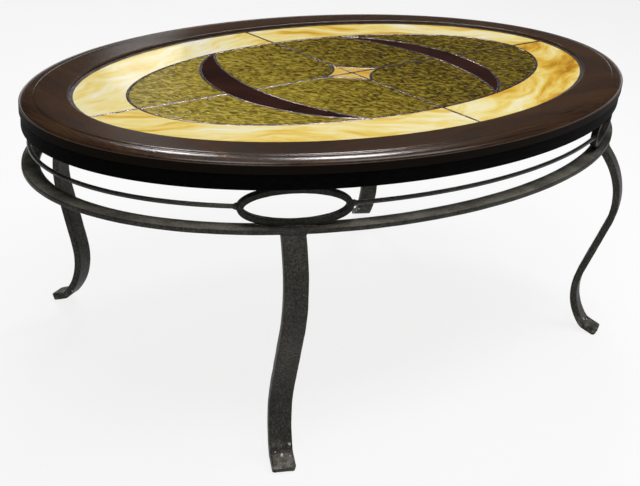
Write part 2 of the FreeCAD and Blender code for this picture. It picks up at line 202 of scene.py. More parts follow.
def put_on_table(name, mesh, nodes, crease=35.0):
    """Show a finished mesh as a piece that stands for CAD nodes."""
    mesh.name = name
    for face in mesh.polygons:
        face.use_smooth = True
    mesh.set_sharp_from_angle(angle=math.radians(crease))
    piece = linked(name, mesh)
    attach(piece, "root")
    if nodes:
        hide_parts(*nodes)
    return piece


def new_material(name):
    """Material with its tree, its shader and the object coordinates."""
    material = bpy.data.materials.new(name)
    material.use_nodes = True
    tree = material.node_tree
    return material, tree, tree.nodes["Principled BSDF"], add_node(tree, "ShaderNodeTexCoord", output="Object")


def speckle(tree, place, scale, detail, roughness=0.5, distortion=0.0):
    """Cloudy pattern from 0 to 1."""
    return add_node(tree, "ShaderNodeTexNoise", {
        "Vector": place, "Scale": scale, "Detail": detail, "Roughness": roughness, "Distortion": distortion})


def spread(tree, value, low, high, to_low=0.0, to_high=1.0, **settings):
    """Value moved from one range to another."""
    return add_node(tree, "ShaderNodeMapRange", {
        "Value": value, "From Min": low, "From Max": high, "To Min": to_low, "To Max": to_high}, **settings)


def painted(tree, share, under, over):
    """Colour with a share of another one over it."""
    return add_node(tree, "ShaderNodeMix", {"Factor": share, "A": under, "B": over}, "Result", data_type="RGBA")


def colour_ramp(tree, factor, stops):
    """Colour that follows a value through stops of (position, colour)."""
    ramp = tree.nodes.new("ShaderNodeValToRGB")
    fill(tree, ramp, {"Fac": factor})
    while len(ramp.color_ramp.elements) < len(stops):
        ramp.color_ramp.elements.new(0.5)
    for element, (position, colour) in zip(ramp.color_ramp.elements, stops):
        element.position = position
        element.color = (*colour, 1.0)
    return ramp.outputs["Color"]


def bumped(tree, height, strength, distance):
    """Normal of a surface that a pattern roughens."""
    return add_node(tree, "ShaderNodeBump", {"Height": height, "Strength": strength, "Distance": distance})


def blackened_iron(name, matt, gloss, shade=1.0):
    """Sandy black iron. Its upward faces are lighter, partly dusty and partly painted light from above. Near the floor
    it is rubbed bright and chipped at the toe's bend, the chips painted near white as glints, and faces that turn down
    carry painted shade.
    """
    material, tree, shader, place = new_material(name)
    scale = speckle(tree, place, 300.0, 5.0, 0.75)
    cloud = speckle(tree, place, 22.0, 4.0, 0.6)
    mixed = add_node(tree, "ShaderNodeMix", {"Factor": 0.78, "A": cloud, "B": scale})
    colour = colour_ramp(tree, mixed, [
        (position, [shade * part for part in black]) for position, black in (
            (0.38, (0.012, 0.0112, 0.0096)), (0.50, (0.032, 0.030, 0.0255)), (0.62, (0.080, 0.075, 0.063)))])
    height = add_node(tree, "ShaderNodeSeparateXYZ", {0: place}, "Z")
    low = spread(tree, height, 0.040, 0.010)
    bare = spread(tree, speckle(tree, place, 75.0, 3.0, 0.6), 0.47, 0.66)
    colour = painted(tree, times(tree, low, bare), colour, (0.21, 0.20, 0.18, 1.0))
    # Chips at the bend of each toe: bare metal, painted near white as glints.
    at_bend = times(tree, spread(tree, height, 0.017, 0.019), spread(tree, height, 0.032, 0.028))
    chip_glints = spread(tree, speckle(tree, place, 120.0, 1.0), 0.65, 0.68)
    colour = painted(tree, times(tree, at_bend, chip_glints), colour, (0.80, 0.80, 0.78, 1.0))
    normal = add_node(tree, "ShaderNodeNewGeometry", output="Normal")
    facing = add_node(tree, "ShaderNodeSeparateXYZ", {0: normal}, "Z")
    # Upward faces are made lighter, partly as a dusty film and partly as painted light from above; the lightening fades
    # out near the head of each leg.
    dusty_and_lit_tops = times(tree, spread(tree, facing, 0.90, 0.995), spread(tree, cloud, 0.40, 0.60, 0.45, 0.90))
    folded = add_node(tree, "ShaderNodeVectorMath", {0: place}, operation="ABSOLUTE")
    from_leg = add_node(tree, "ShaderNodeVectorMath", {0: folded, 1: oval_point(HOOP_MIDDLE, LEG_TURN, HOOP_TOP)},
                        "Value", operation="DISTANCE")
    away_from_legs = spread(tree, from_leg, 0.030, 0.090, 0.15)
    dust_and_top_light = colour_ramp(tree, mixed, [(0.38, (0.150, 0.140, 0.114)), (0.62, (0.330, 0.312, 0.258))])
    colour = painted(tree, times(tree, dusty_and_lit_tops, away_from_legs), colour, dust_and_top_light)
    # Painted shade: near the floor, faces that turn down are darkened to near black.
    painted_shade_below = times(tree, spread(tree, facing, -0.15, -0.35, 0.0, 0.85), low)
    colour = painted(tree, painted_shade_below, colour, (0.004, 0.004, 0.0035, 1.0))
    fill(tree, shader, {
        "Base Color": colour, "Roughness": spread(tree, mixed, 0.3, 0.7, matt, matt - 0.18),
        "Normal": bumped(tree, scale, 0.40, 0.0010), "Metallic": 0.2, "Specular IOR Level": gloss})
    return material


IRON = blackened_iron("blackened_iron", matt=0.60, gloss=0.20)
hoop = forged_bar([oval_point(HOOP_MIDDLE, turn, (HOOP_BOTTOM + HOOP_TOP) / 2) for turn in ALL_ROUND], True,
                  bar_section(HOOP_WIDTH, HOOP_TOP - HOOP_BOTTOM, HOOP_CORNER, step=0.004), IRON,
                  depth=0.0006, scale=30.0, seed=3.0)
put_on_table("lower_hoop", hoop, ["lower_hoop_" + side for side in SIDES])


# Legs. Four flat iron bars, 36 by 13 mm, forged to an S with a turned-out toe, each in a plane square to the oval.
# Their heads are welded under the outer half of the hoop, and each toe is dressed flat where it stands on the floor.

LEG_WIDTH, LEG_THICKNESS, LEG_SETBACK, LEG_CORNER = 0.036, 0.013, 0.0085, 0.0018
THIGH_LENGTH, TOE_LENGTH, HEAD_SPARE = 0.0173, 0.0271, 0.008
THIGH_LEAN, SHIN_LEAN, INSTEP_LEAN, TOE_LEAN = (math.radians(lean) for lean in (39.5, 17.1, 40.4, 67.5))
KNEE_RADIUS, CALF_RADIUS, INSTEP_RADIUS, TOE_RADIUS = 0.141, 0.1255, 0.110, 0.014
TOE_SINK, TOE_CORNER, TOE_HEIGHT = 0.0025, 0.005, 0.03
LEG_STEP, TOE_STEP = 0.004, 0.001
QUARTERS = {"back_right": (1, 1), "back_left": (-1, 1), "front_left": (-1, -1), "front_right": (1, -1)}


def in_quarter(signs, x, y, z):
    """Point of the back right quarter, mirrored into another one."""
    return x * signs[0], y * signs[1], z


def levelled(mesh, bottom, top):
    """Cut a mesh level below and above."""
    for vertex in mesh.vertices:
        vertex.co.z = min(max(vertex.co.z, bottom), top)


def leg_line():
    """Middle line of a leg as (outwards from the hoop's edge, height)."""
    bends = [(KNEE_RADIUS, THIGH_LEAN, -SHIN_LEAN), (CALF_RADIUS, -SHIN_LEAN, 0.0),
             (INSTEP_RADIUS, 0.0, INSTEP_LEAN), (TOE_RADIUS, INSTEP_LEAN, TOE_LEAN)]
    tip = LEG_THICKNESS / 2 * math.sin(TOE_LEAN) - TOE_SINK
    drop = THIGH_LENGTH * math.cos(THIGH_LEAN) + TOE_LENGTH * math.cos(TOE_LEAN)
    drop += sum(radius * abs(math.sin(end) - math.sin(start)) for radius, start, end in bends)
    shin = (HOOP_BOTTOM - tip - drop) / math.cos(SHIN_LEAN)
    runs = [(THIGH_LENGTH + HEAD_SPARE, THIGH_LEAN, THIGH_LEAN), bends[0], (shin, -SHIN_LEAN, -SHIN_LEAN)]
    runs += bends[1:] + [(TOE_LENGTH, TOE_LEAN, TOE_LEAN)]
    here = Vector((-LEG_SETBACK - HEAD_SPARE * math.sin(THIGH_LEAN),
                   HOOP_BOTTOM + HEAD_SPARE * math.cos(THIGH_LEAN)))
    line = [here]
    for size, start, end in runs:
        length = size if start == end else size * abs(end - start)
        steps = max(2, round(length / (TOE_STEP if size == TOE_LENGTH else LEG_STEP)))
        for step in range(steps):
            lean = start + (end - start) * (step + 0.5) / steps
            here = here + Vector((math.sin(lean), -math.cos(lean))) * (length / steps)
            line.append(here)
    return line


def round_the_toe(leg, foot, outward):
    """Draw in the two corners at the tip of a toe, as a file leaves them."""
    out, height = leg_line()[-1]
    sideways = Vector((-outward.y, outward.x, 0))
    for vertex in leg.vertices:
        place = vertex.co - foot
        back = (out - place.dot(outward)) * math.sin(TOE_LEAN) - (height - vertex.co.z) * math.cos(TOE_LEAN)
        across = place.dot(sideways)
        spare = abs(across) - (LEG_WIDTH / 2 - TOE_CORNER)
        if back < TOE_CORNER and spare > 0 and vertex.co.z < TOE_HEIGHT:
            kept = math.sqrt(max(1 - ((TOE_CORNER - max(back, 0.0)) / TOE_CORNER) ** 2, 0.0))
            vertex.co -= sideways * math.copysign(spare * (1 - kept), across)


foot, outward = oval_point(HOOP_SETBACK, LEG_TURN), oval_outward(HOOP_SETBACK, LEG_TURN)
for number, (quarter, signs) in enumerate(QUARTERS.items()):
    points = [in_quarter(signs, foot.x + outward.x * out, foot.y + outward.y * out, height)
              for out, height in leg_line()]
    leg = forged_bar(points, False, bar_section(LEG_WIDTH, LEG_THICKNESS, LEG_CORNER, step=0.003), IRON,
                     depth=0.0011, scale=45.0, seed=7.0 + number)
    round_the_toe(leg, Vector(in_quarter(signs, *foot)), Vector(in_quarter(signs, *outward)))
    levelled(leg, 0.0, HOOP_BOTTOM)
    put_on_table("leg_" + quarter, leg, ["leg_" + quarter])


# Oval ornaments. Bar 10 mm in the plane of the oval and 12 mm deep, bent to a flat oval and closed by a weld.
# Each stands upright over a leg, welded to the hoop below it and to the upper ring above it.
# They are finished darker than the hoop.

ORNAMENT_LENGTH, ORNAMENT_BAR, ORNAMENT_DEPTH, ORNAMENT_CORNER = 0.172, 0.010, 0.012, 0.0022
ORNAMENT_INSET, ORNAMENT_TOP, ORNAMENT_FLAT = 0.0195, 0.443, 0.0008
ORNAMENT_HALF = (ORNAMENT_LENGTH - ORNAMENT_BAR) / 2
ORNAMENT_RISE = (ORNAMENT_TOP - HOOP_TOP - ORNAMENT_BAR) / 2 + ORNAMENT_FLAT
ORNAMENT_HEIGHT = (ORNAMENT_TOP + HOOP_TOP) / 2
ORNAMENT_STATIONS = 160

ornament_middle, outward = oval_point(ORNAMENT_INSET, LEG_TURN), oval_outward(ORNAMENT_INSET, LEG_TURN)
sideways = Vector((-outward.y, outward.x, 0))
RING_IRON = blackened_iron("ring_iron", matt=0.60, gloss=0.14, shade=0.55)
for number, (quarter, signs) in enumerate(QUARTERS.items()):
    points = []
    for station in range(ORNAMENT_STATIONS):
        turn = 2 * math.pi * station / ORNAMENT_STATIONS
        along = ORNAMENT_HALF * math.sin(turn)
        points.append(in_quarter(signs, ornament_middle.x - outward.y * along, ornament_middle.y + outward.x * along,
                                 ORNAMENT_HEIGHT + ORNAMENT_RISE * math.cos(turn)))
    section = bar_section(ORNAMENT_DEPTH, ORNAMENT_BAR, ORNAMENT_CORNER, step=0.002)
    ornament = forged_bar(points, True, section, RING_IRON, depth=0.0007, scale=70.0, seed=20.0 + number)
    levelled(ornament, HOOP_TOP, ORNAMENT_TOP)
    put_on_table("ornament_" + quarter, ornament, ["ornament_" + quarter])


# Rods. Round drawn iron rod, 7 mm, smoother than the bars, bent to the oval and welded to the ends of the ornaments,
# just above their middle. They close the ring between the ornaments and carry nothing.

ROD_RADIUS, ROD_LIFT, ROD_STATIONS = 0.0035, 0.00175, 150
ROD_CORNER, ROD_HEIGHT = ROD_RADIUS * 0.999, ORNAMENT_HEIGHT + ROD_LIFT


def oval_through(point):
    """Inset of the oval through a point, found by halving."""
    low, high = -0.2, 0.2
    for _ in range(50):
        inset = (low + high) / 2
        outside = (point.x / (HALF_LENGTH - inset)) ** 2 + (point.y / (HALF_WIDTH - inset)) ** 2 > 1
        low, high = (low, inset) if outside else (inset, high)
    return inset


def side_turns(side, turn):
    """First and last angle of one side of an oval that is parted at an angle in each quarter."""
    return {"right": (-turn, turn), "back": (turn, math.pi - turn), "left": (math.pi - turn, math.pi + turn),
            "front": (math.pi + turn, 2 * math.pi - turn)}[side]


DRAWN_IRON = blackened_iron("drawn_iron", matt=0.42, gloss=0.35)
rod_ends = []
for side in SIDES:
    along = 1 if side in ("front", "back") else -1
    end = ornament_middle + sideways * (along * ORNAMENT_HALF)
    inset = oval_through(end)
    start, stop = side_turns(side, math.atan2(end.y / (HALF_WIDTH - inset), end.x / (HALF_LENGTH - inset)))
    line = [oval_point(inset, start + (stop - start) * station / ROD_STATIONS, ROD_HEIGHT)
            for station in range(ROD_STATIONS + 1)]
    rod_ends += [(line[0], line[1] - line[0]), (line[-1], line[-2] - line[-1])]
    rod = forged_bar(line, False, bar_section(2 * ROD_RADIUS, 2 * ROD_RADIUS, ROD_CORNER, step=0.004), DRAWN_IRON,
                     depth=0.0004, scale=90.0, seed=31.0)
    put_on_table("rod_" + side, rod, ["rod_" + side])


# Welds. Short beads of weld metal, left as they set: round the rod ends, along both sides of each ornament's foot
# and head, and round the leg heads. They are blackened with the rest.

ROD_BEADS = ((0.0055, 0.0032, 1.1), (0.0070, 0.0029, 0.9), (0.0086, 0.0026, 0.7), (0.0102, 0.0024, 0.5))
FOOT_BEAD, HEAD_BEAD, BEAD_SINK, BEAD_SIZE, BEAD_TAPER, BEAD_PARTS = 0.038, 0.028, 0.0004, 1.35, 0.9, 12
LEG_BEAD_SINK, LEG_BEAD_SIZE = 0.0002, 0.6
DROP_LUMPS, DROP_UNEVENNESS = 1.7, 0.15


def weld_tree():
    """Drops of weld metal that run into each other along every line of the carrier."""
    tree, given = new_tree("welds", {
        "Drop": "Object", "Spacing": "Float", "Smallest": "Float", "Largest": "Float", "Seed": "Int",
        "Finish": "Material"})
    points = add_node(tree, "GeometryNodeCurveToPoints", {"Curve": given["Geometry"], "Length": given["Spacing"]},
                      "Points", mode="LENGTH")
    drop = given_shape(tree, given["Drop"], as_instance=True)
    size = add_node(tree, "FunctionNodeRandomValue", {
        2: given["Smallest"], 3: given["Largest"], "Seed": given["Seed"]}, 1)
    set_out = add_node(tree, "GeometryNodeInstanceOnPoints", {
        "Points": points, "Instance": drop, "Scale": times(tree, size, add_node(tree, "GeometryNodeInputRadius"))})
    return end_tree(tree, set_out, given["Finish"])


def weld_paths():
    """Lines along which the base is welded, with the size of the bead at each point."""
    paths = []
    for end, along in rod_ends:
        ahead = along.normalized()
        across = ahead.cross(Vector((0, 0, 1)))
        for distance, radius, size in ROD_BEADS:
            paths.append(([(*(end + ahead * distance
                              + (across * math.cos(turn) + Vector((0, 0, math.sin(turn)))) * radius), size)
                           for turn in [2 * math.pi * part / BEAD_PARTS for part in range(BEAD_PARTS + 1)]], False))
    head = oval_point(HOOP_SETBACK, LEG_TURN) - outward * LEG_SETBACK
    head_depth, head_width = LEG_THICKNESS / 2 / math.cos(THIGH_LEAN), LEG_WIDTH / 2
    for signs in QUARTERS.values():
        beads = [[(ornament_middle + outward * (side * ORNAMENT_DEPTH / 2) + sideways * (along * reach)
                   + Vector((0, 0, height)), BEAD_SIZE - BEAD_TAPER * abs(along))
                  for along in (-1.0, -0.5, 0.0, 0.5, 1.0)] for side in (-1, 1)
                 for height, reach in ((HOOP_TOP + BEAD_SINK, FOOT_BEAD), (ORNAMENT_TOP - BEAD_SINK, HEAD_BEAD))]
        beads.append([(head + outward * (depth * head_depth) + sideways * (width * head_width)
                       + Vector((0, 0, HOOP_BOTTOM - LEG_BEAD_SINK)), LEG_BEAD_SIZE)
                      for depth, width in ((-1, -1), (1, -1), (1, 1), (-1, 1), (-1, -1))])
        paths += [([(*in_quarter(signs, *point), size) for point, size in bead], False) for bead in beads]
    return paths


def mesh_of(shape, name):
    """Mesh of a finished shape, its faces turned outwards."""
    bmesh.ops.recalc_face_normals(shape, faces=shape.faces)
    mesh = bpy.data.meshes.new(name)
    shape.to_mesh(mesh)
    shape.free()
    return mesh


drop_shape = bmesh.new()
bmesh.ops.create_icosphere(drop_shape, subdivisions=2, radius=1.0)
for vertex in drop_shape.verts:
    vertex.co *= 1 + DROP_UNEVENNESS * noise.noise(vertex.co * DROP_LUMPS)
weld_drop = linked("weld_drop", mesh_of(drop_shape, "weld_drop"))
welds = made_by_nodes(paths_object("weld_lines", weld_paths()), weld_tree(), {
    "Drop": weld_drop, "Spacing": 0.0013, "Smallest": 0.0017, "Largest": 0.0023, "Seed": 4, "Finish": IRON})
put_on_table("welds", welds, [])
bpy.data.objects.remove(weld_drop)


# Upper ring. Flat iron bar, 30 by 6 mm, bent on its flat to an oval. It joins the heads of the ornaments,
# and is let flush into the underside of the lower moulding and screwed up to it.

RING_INSET, RING_WIDTH, RING_THICKNESS = 0.0103, 0.030, 0.006


def finish_node(node, material):
    """Give a CAD node that no piece stands for its finish."""
    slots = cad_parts[node].data.materials
    slots.clear()
    slots.append(material)


finish_node("upper_ring", IRON)


# Lower moulding. A second oval ring under the frame, 25 mm deep, ebonised and matt, glued up from four segments.
# It stands slightly back from the frame, and 20 mm of it show inside as the ledge that carries the glass.

MOULDING_TOP, MOULDING_BOTTOM, MOULDING_SETBACK, LEDGE_INSET = 0.468, 0.443, 0.0023, 0.096
MOULDING_JOINT, MOULDING_STATIONS = math.radians(25.0), 220
OUTER_ROUND, INNER_ROUND = 0.003, 0.002


def joint_turn(inset, cut_inset, cut_turn):
    """Angle at which an oval meets the joint plane that stands square to another oval."""
    point, square = oval_point(cut_inset, cut_turn), oval_outward(cut_inset, cut_turn)
    turn = cut_turn
    for _ in range(12):
        gap = (oval_point(inset, turn) - point).cross(square).z
        run = Vector((-(HALF_LENGTH - inset) * math.sin(turn), (HALF_WIDTH - inset) * math.cos(turn), 0))
        turn -= gap / run.cross(square).z
    return turn


def oval_segment(side, profile, cut_inset, cut_turn, stations):
    """Length of moulding round one side of the oval. The profile runs (inset, height) round its section."""
    shape = bmesh.new()
    rows = []
    for inset, height in profile:
        start, stop = side_turns(side, joint_turn(inset, cut_inset, cut_turn))
        rows.append([shape.verts.new(oval_point(inset, start + (stop - start) * station / stations, height))
                     for station in range(stations + 1)])
    for lower, upper in zip(rows, rows[1:] + rows[:1]):
        for station in range(stations):
            shape.faces.new((lower[station], lower[station + 1], upper[station + 1], upper[station]))
    for station in (0, stations):
        shape.faces.new([row[station] for row in rows])
    return mesh_of(shape, side)


def rounded(inset, height, radius, start, stop, parts):
    """Points of a round about a centre in a profile, as (inset, height)."""
    turns = [math.radians(start + (stop - start) * part / parts) for part in range(parts + 1)]
    return [(inset + radius * math.cos(turn), height + radius * math.sin(turn)) for turn in turns]


def stretched(tree, place, scale):
    """Coordinates stretched along each axis."""
    return add_node(tree, "ShaderNodeMapping", {"Vector": place, "Scale": scale})


def ebonised_wood():
    """Black-stained wood, matt, with fine pores along the table."""
    material, tree, shader, place = new_material("ebonised_wood")
    pores = speckle(tree, stretched(tree, place, (12.0, 240.0, 240.0)), 1.0, 4.0)
    fill(tree, shader, {
        "Base Color": colour_ramp(tree, pores, [(0.35, (0.0006, 0.0006, 0.0006)), (0.65, (0.0022, 0.0020, 0.0018))]),
        "Roughness": spread(tree, pores, 0.0, 1.0, 0.75, 0.55), "Normal": bumped(tree, pores, 0.12, 0.0004),
        "Specular IOR Level": 0.02})
    return material


EBONISED = ebonised_wood()
groove_top = MOULDING_BOTTOM + RING_THICKNESS
moulding_profile = [(MOULDING_SETBACK, MOULDING_TOP)]
moulding_profile += rounded(MOULDING_SETBACK + OUTER_ROUND, MOULDING_BOTTOM + OUTER_ROUND, OUTER_ROUND, 180, 270, 6)
moulding_profile += [(RING_INSET, MOULDING_BOTTOM), (RING_INSET, groove_top),
                     (RING_INSET + RING_WIDTH, groove_top), (RING_INSET + RING_WIDTH, MOULDING_BOTTOM)]
moulding_profile += rounded(LEDGE_INSET - INNER_ROUND, MOULDING_BOTTOM + INNER_ROUND, INNER_ROUND, 270, 360, 5)
moulding_profile += [(LEDGE_INSET, MOULDING_TOP)]
for side in SIDES:
    moulding = oval_segment(side, moulding_profile, (MOULDING_SETBACK + LEDGE_INSET) / 2, MOULDING_JOINT,
                            MOULDING_STATIONS)
    moulding.materials.append(EBONISED)
    put_on_table("lower_moulding_" + side, moulding, ["lower_moulding_" + side])


# Screws. Eight pan-head steel wood screws, 4.5 by 32 mm, two in each quarter of the upper ring.
# They are driven from below, through the ring and the moulding into the frame, and hold the top to the base.

SCREW_LENGTH, SCREW_RADIUS, SCREW_HEAD_RADIUS, SCREW_HEAD_HEIGHT, SCREW_POINT = 0.032, 0.00225, 0.0045, 0.0025, 0.006
SCREW_TURNS = (math.radians(12.0), math.radians(80.0))
SCREW_SIDES = 24


def screw_tree():
    """The same screw at every point of the carrier."""
    tree, given = new_tree("screws", {"Screw": "Object", "Finish": "Material"})
    screw = given_shape(tree, given["Screw"], as_instance=True)
    set_out = add_node(tree, "GeometryNodeInstanceOnPoints", {"Points": given["Geometry"], "Instance": screw})
    return end_tree(tree, set_out, given["Finish"])


def turned_piece(name, outline, sides):
    """Solid of revolution about Z from (radius, height) points that start and end on the axis."""
    shape = bmesh.new()
    rings = []
    for radius, height in outline:
        turns = [2 * math.pi * k / sides for k in range(sides if radius else 1)]
        rings.append([shape.verts.new((radius * math.cos(turn), radius * math.sin(turn), height)) for turn in turns])
    for lower, upper in zip(rings, rings[1:]):
        for k in range(sides):
            corners = [lower[k % len(lower)], lower[(k + 1) % len(lower)],
                       upper[(k + 1) % len(upper)], upper[k % len(upper)]]
            shape.faces.new(list(dict.fromkeys(corners)))
    return linked(name, mesh_of(shape, name))


def points_object(name, points):
    """Loose points, for a tree to set pieces on."""
    mesh = bpy.data.meshes.new(name)
    mesh.from_pydata(points, [], [])
    return linked(name, mesh)


def mottled(name, stretch, detail, dark, light, looks):
    """Plain finish in two close tones, mottled in a pattern stretched along each axis."""
    material, tree, shader, place = new_material(name)
    tone = speckle(tree, stretched(tree, place, stretch), 1.0, detail)
    fill(tree, shader, {"Base Color": colour_ramp(tree, tone, [(0.3, dark), (0.7, light)]), **looks})
    return material


SCREW_STEEL = mottled("screw_steel", (900.0, 900.0, 900.0), 3.0, (0.16, 0.16, 0.16), (0.36, 0.35, 0.33),
                      {"Metallic": 1.0, "Roughness": 0.35})
screw_head = [(0.0, 0.55), (0.0012, 0.55), (0.0013, 1.0), (0.0030, 0.92), (0.0041, 0.6)]
screw_outline = [(radius, -SCREW_HEAD_HEIGHT * share) for radius, share in screw_head]
screw_outline += [(SCREW_HEAD_RADIUS, 0.0), (SCREW_RADIUS, 0.0), (SCREW_RADIUS, SCREW_LENGTH - SCREW_POINT),
                  (0.0, SCREW_LENGTH)]
screw = turned_piece("screw", screw_outline, SCREW_SIDES)
screw_places = points_object("screw_places", [
    in_quarter(signs, *oval_point(RING_INSET + RING_WIDTH / 2, turn, MOULDING_BOTTOM))
    for signs in QUARTERS.values() for turn in SCREW_TURNS])
screws = made_by_nodes(screw_places, screw_tree(), {"Screw": screw, "Finish": SCREW_STEEL})
put_on_table("top_screws", screws, ["top_screws"])
bpy.data.objects.remove(screw)


# Top frame. Four sawn segments of open-grained hardwood, 76 by 22 mm, butt-jointed to an oval with loose tongues.
# The outer edge is moulded to a round between two small steps. Espresso stain and satin lacquer, rubbed thin at the
# arris, where the lighter colour is partly worn wood and partly a painted highlight line.

FRAME_TOP, FRAME_BOTTOM, FRAME_WIDTH = 0.490, 0.468, 0.076
EDGE_STEP, EDGE_ROUND_WIDTH, EDGE_ROUND_DROP, EDGE_PARTS = 0.0012, 0.020, 0.0070, 16
STEP_EASING = ((0.0045, 0.0), (0.0030, 0.00008), (0.0016, 0.0004), (0.0006, 0.0009))
LIP_ROUND, ARRIS_ROUND, FOOT_ROUND = 0.002, 0.0004, 0.0006
FRAME_JOINT, FRAME_STATIONS = math.radians(40.0), 260
SAWN_ROWS, SAWN_FOOT, ARRIS_WEAR_AND_HIGHLIGHT, ROUND_WEAR_AND_HIGHLIGHT = (0.0010, 0.003), 0.0015, 0.6, 0.4


def attribute(tree, name):
    """Value that the mesh carries."""
    return add_node(tree, "ShaderNodeAttribute", output="Fac", attribute_name=name)


def times_plus(tree, value, factor, added):
    """Value times a factor, with another value added."""
    return add_node(tree, "ShaderNodeMath", {0: value, 1: factor, 2: added}, operation="MULTIPLY_ADD")


def espresso_wood(name, turn):
    """Stained wood whose grain runs along X, turned about the upright by an angle. The upright outer edge is dry and
    matt, and darkened as painted shade.
    """
    material, tree, shader, place = new_material(name)
    turned = add_node(tree, "ShaderNodeMapping", {"Vector": place, "Rotation": (0.0, 0.0, turn)})
    pores = speckle(tree, stretched(tree, turned, (14.0, 320.0, 320.0)), 1.0, 5.0, 0.6)
    figure = speckle(tree, stretched(tree, turned, (3.0, 34.0, 34.0)), 1.0, 3.0, 0.5, 0.6)
    both = add_node(tree, "ShaderNodeMix", {"Factor": 0.55, "A": figure, "B": pores})
    stain = colour_ramp(tree, both, [
        (0.34, (0.0150, 0.0070, 0.0036)), (0.47, (0.0360, 0.0170, 0.0082)),
        (0.56, (0.0510, 0.0248, 0.0118)), (0.68, (0.0750, 0.0350, 0.0160))])
    # Lighter brown along the arris and the foot of the round: partly worn finish, partly a painted highlight line.
    rubbed = times(tree, attribute(tree, "wear_and_highlight"), speckle(tree, place, 55.0, 3.0))
    edge_shade = attribute(tree, "painted_edge_shade")
    colour = painted(tree, rubbed, stain, (0.115, 0.068, 0.045, 1.0))
    # Painted shade: the upright edge below the round is darkened.
    colour = painted(tree, edge_shade, colour, (0.0085, 0.0058, 0.0040, 1.0))
    fill(tree, shader, {
        "Base Color": colour, "Roughness": times_plus(tree, edge_shade, 0.35, spread(tree, both, 0.3, 0.7, 0.25, 0.15)),
        "Specular IOR Level": spread(tree, edge_shade, 0.0, 1.0, 0.31, 0.02), "Normal": bumped(tree, pores, 0.20, 0.0006)})
    return material


round_bottom = FRAME_TOP - EDGE_STEP - EDGE_ROUND_DROP
round_inset = EDGE_STEP + EDGE_ROUND_WIDTH
frame_profile = [(FRAME_WIDTH, FRAME_BOTTOM)]
frame_profile += rounded(FRAME_WIDTH - LIP_ROUND, FRAME_TOP - LIP_ROUND, LIP_ROUND, 0, 90, 6)
frame_profile += [(FRAME_WIDTH - 2 * LIP_ROUND, FRAME_TOP), (FRAME_WIDTH / 2, FRAME_TOP)]
frame_profile += [(round_inset + inwards, FRAME_TOP - down) for inwards, down in STEP_EASING]
for part in range(EDGE_PARTS + 1):
    turn = math.pi / 2 * (1 - part / EDGE_PARTS)
    frame_profile.append((EDGE_STEP + EDGE_ROUND_WIDTH * (1 - math.cos(turn)),
                          round_bottom + EDGE_ROUND_DROP * math.sin(turn)))
arris = len(frame_profile)
arris_profile = rounded(ARRIS_ROUND, round_bottom - ARRIS_ROUND, ARRIS_ROUND, 90, 180, 3)
sawn_from = arris + len(arris_profile)
frame_profile += arris_profile
frame_profile += [(0.0, round_bottom - down) for down in SAWN_ROWS] + [(0.0, FRAME_BOTTOM + SAWN_FOOT)]
frame_profile += rounded(FOOT_ROUND, FRAME_BOTTOM + FOOT_ROUND, FOOT_ROUND, 180, 270, 3)
worn_and_highlit_rows = {arris - 1: ROUND_WEAR_AND_HIGHLIGHT, **{row: ARRIS_WEAR_AND_HIGHLIGHT for row in range(arris, sawn_from)}}
for side in SIDES:
    segment = oval_segment(side, frame_profile, FRAME_WIDTH / 2, FRAME_JOINT, FRAME_STATIONS)
    vertex_rows = [number // (FRAME_STATIONS + 1) for number in range(len(segment.vertices))]
    wear_and_highlight = segment.attributes.new("wear_and_highlight", "FLOAT", "POINT")
    wear_and_highlight.data.foreach_set("value", [worn_and_highlit_rows.get(row, 0.0) for row in vertex_rows])
    painted_edge_shade = segment.attributes.new("painted_edge_shade", "FLOAT", "POINT")
    painted_edge_shade.data.foreach_set("value", [float(row >= sawn_from) for row in vertex_rows])
    grain_turn = 0.0 if side in ("front", "back") else math.pi / 2
    segment.materials.append(espresso_wood("espresso_wood_" + side, grain_turn))
    put_on_table("top_frame_" + side, segment, ["top_frame_" + side], crease=40.0)


# Loose tongues. Strips of plywood across the four joints of the frame, glued into a slot on each side.
# They keep the segments level, and are out of sight in the finished top.

RAW_WOOD = mottled("raw_wood", (20.0, 200.0, 900.0), 4.0, (0.30, 0.18, 0.09), (0.50, 0.34, 0.19), {"Roughness": 0.7})
finish_node("joint_tongues", RAW_WOOD)


# Setting pads. Eight small discs of soft clear rubber, stuck on the ledge.
# They keep the glass off the wood and take up what is uneven.

CLEAR_RUBBER = mottled("clear_rubber", (300.0, 300.0, 300.0), 2.0, (0.42, 0.42, 0.41), (0.56, 0.56, 0.55),
                       {"Roughness": 0.55})
finish_node("setting_pads", CLEAR_RUBBER)


# Bearer sheet. Clear toughened glass, 10 mm, cut to the oval, with a ground edge.
# It lies loose on the pads and carries the leaded panel.

def clear_glass():
    """Clear float glass, faintly green, not quite flat."""
    material, tree, shader, place = new_material("clear_glass")
    fill(tree, shader, {
        "Normal": bumped(tree, speckle(tree, place, 6.0, 1.0), 0.03, 0.001), "Base Color": (0.86, 0.94, 0.90, 1.0),
        "Roughness": 0.02, "Transmission Weight": 1.0, "IOR": 1.5})
    return material


finish_node("bearer_glass", clear_glass())


# Panes. Flat coloured glass, 4 mm: streaky cream and amber in the border, hammered olive in the ground, plain brown
# and amber in the crescents and the star. Each is cut to its own outline and ground to fit the came and the seams.

